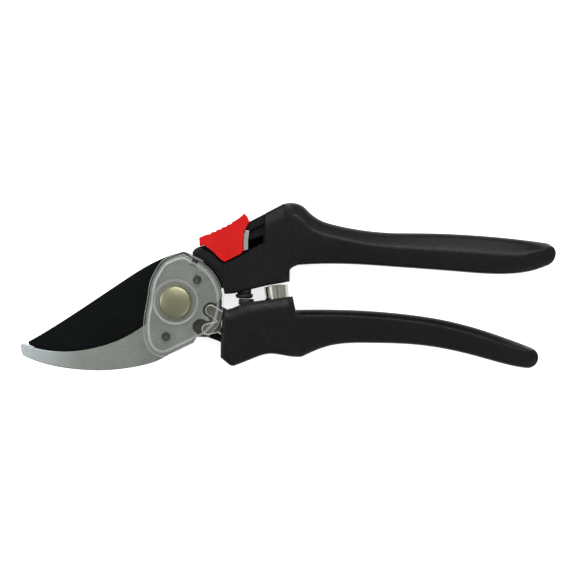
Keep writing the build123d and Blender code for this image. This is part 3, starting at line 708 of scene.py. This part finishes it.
def build_finishes():
    """Materials of the metal, the cover, the rubber stops and the lock."""
    steel = ground_steel("plain_steel", (0.42, 0.42, 0.40), (0.60, 0.60, 0.57), 0.34, (1.0, 1.0, 0.1))
    paint(black_coating(), ["cutting_blade"], 0.12)
    paint(hook_steel_with_painted_shade(), ["hook_jaw"], 0.3, False)
    bolt = ground_steel("bolt_metal", (0.24, 0.235, 0.15), (0.28, 0.275, 0.18), 0.34, (1.0, 1.0, 1.0),
                        metallic=0.9, scratch=0.12)
    paint(bolt, ["pivot_bolt"], 0.7, False)
    # The arm's cream rim colour is a painted highlight on its rounded edges.
    arm = ground_steel("arm_steel", (0.05, 0.046, 0.034), (0.09, 0.083, 0.06), 0.45, (1.4, 0.4, 1.0),
                       metallic=0.8, rim=(0.62, 0.63, 0.55))
    paint(arm, ["gear_arm"], 0.55, False)
    paint(steel, ["wave_washer", "pivot_washer", "pivot_nut", "arm_rivet", "arm_rivet_washer", "lock_latch",
                  "latch_rivets", "detent_spring"], 0.12)
    bronze = ground_steel("bush_bronze", (0.42, 0.30, 0.14), (0.58, 0.44, 0.22), 0.4, (1.0, 1.0, 0.2))
    paint(bronze, ["pivot_bush"], 0.1)
    build_cover(clear_plastic())
    peg = moulded_plastic("peg_plastic", (0.03, 0.034, 0.03), (0.07, 0.076, 0.07), 0.4, 0.4)
    paint(peg, ["cover_pegs"], 0.12)
    rubber = black_rubber()
    turned("stop_pad", "lower_bumper", "grip_side", PAD_PROFILE, rubber, "black_rubber")
    turned("stop_knob", "upper_bumper", "blade_side", KNOB_PROFILE, rubber, "black_rubber")
    paint(red_plastic(), ["lock_button"], 0.14)


# ---------------------------------------------------------------- stage, light and camera
VIEW_WIDTH = 0.2304
VIEW_CENTRE = (0.0447, 0.0055)
LENS = 120.0
SENSOR = 36.0
NEAREST = 0.01
FLOOR_REACH = 3.0
FLOOR_DROP = 0.0002


def area_light(name, place, target, width, height, power):
    data = bpy.data.lights.new(name, "AREA")
    data.shape = "RECTANGLE"
    data.size = width
    data.size_y = height
    data.energy = power
    light = bpy.data.objects.new(name, data)
    light.location = place
    aim = Vector(target) - Vector(place)
    light.rotation_euler = aim.to_track_quat("-Z", "Y").to_euler()
    bpy.context.scene.collection.objects.link(light)


def build_stage():
    """Pale floor, white surroundings and three soft lights."""
    floor_material = Nodes("pale_floor")
    tone = floor_material.noise(9.0, 3.0)
    pale = floor_material.ramp(tone, (0.3, (0.90, 0.90, 0.90)), (0.7, (0.93, 0.93, 0.93)))
    floor_material.color(pale)
    floor_material.set(Roughness=0.7, Emission_Color=(1.0, 1.0, 1.0, 1.0), Emission_Strength=0.75)
    signs = ((-1, -1), (1, -1), (1, 1), (-1, 1))
    corners = [(x * FLOOR_REACH, y * FLOOR_REACH, -FLOOR_DROP) for x, y in signs]
    floor = mesh_piece("floor", corners, [(0, 1, 2, 3)], floor_material.material, "handle_plastic", False)
    world = bpy.data.worlds.new("studio")
    world.use_nodes = True
    background = world.node_tree.nodes["Background"]
    background.inputs["Color"].default_value = (1.0, 1.0, 1.0, 1)
    background.inputs["Strength"].default_value = 0.42
    bpy.context.scene.world = world
    centre = (VIEW_CENTRE[0], VIEW_CENTRE[1], 0.0)
    area_light("key", (0.12, 0.5, 0.7), centre, 0.6, 0.3, 4.5)
    area_light("fill", (0.45, -0.45, 0.6), centre, 0.4, 0.4, 1.2)
    area_light("side", (-0.6, 0.1, 0.5), centre, 0.3, 0.5, 1.6)
    bpy.context.scene.view_settings.view_transform = "Standard"


def build_camera():
    """Camera straight above the front face, with the view width fitted to the lens."""
    data = bpy.data.cameras.new("camera")
    data.lens = LENS
    data.sensor_width = SENSOR
    camera = bpy.data.objects.new("camera", data)
    middle = (cad_high.z + cad_low.z) / 2
    camera.location = (*VIEW_CENTRE, middle + VIEW_WIDTH * LENS / SENSOR)
    bpy.context.scene.collection.objects.link(camera)
    bpy.context.scene.camera = camera
    data.clip_start = NEAREST


# ---------------------------------------------------------------- build
black_plastic = moulded_plastic(
    "handle_plastic", (0.0018, 0.0018, 0.0018), (0.0045, 0.0045, 0.0044), 0.4, 0.2)
spring_steel = ground_steel("spring_steel", (0.36, 0.36, 0.32), (0.52, 0.52, 0.47), 0.2, (1.0, 0.1, 1.0))
build_finishes()
paint(black_plastic, ["spring_seat"], 0.2)
build_handles(black_plastic)
build_spring(spring_steel)
build_stage()
build_camera()
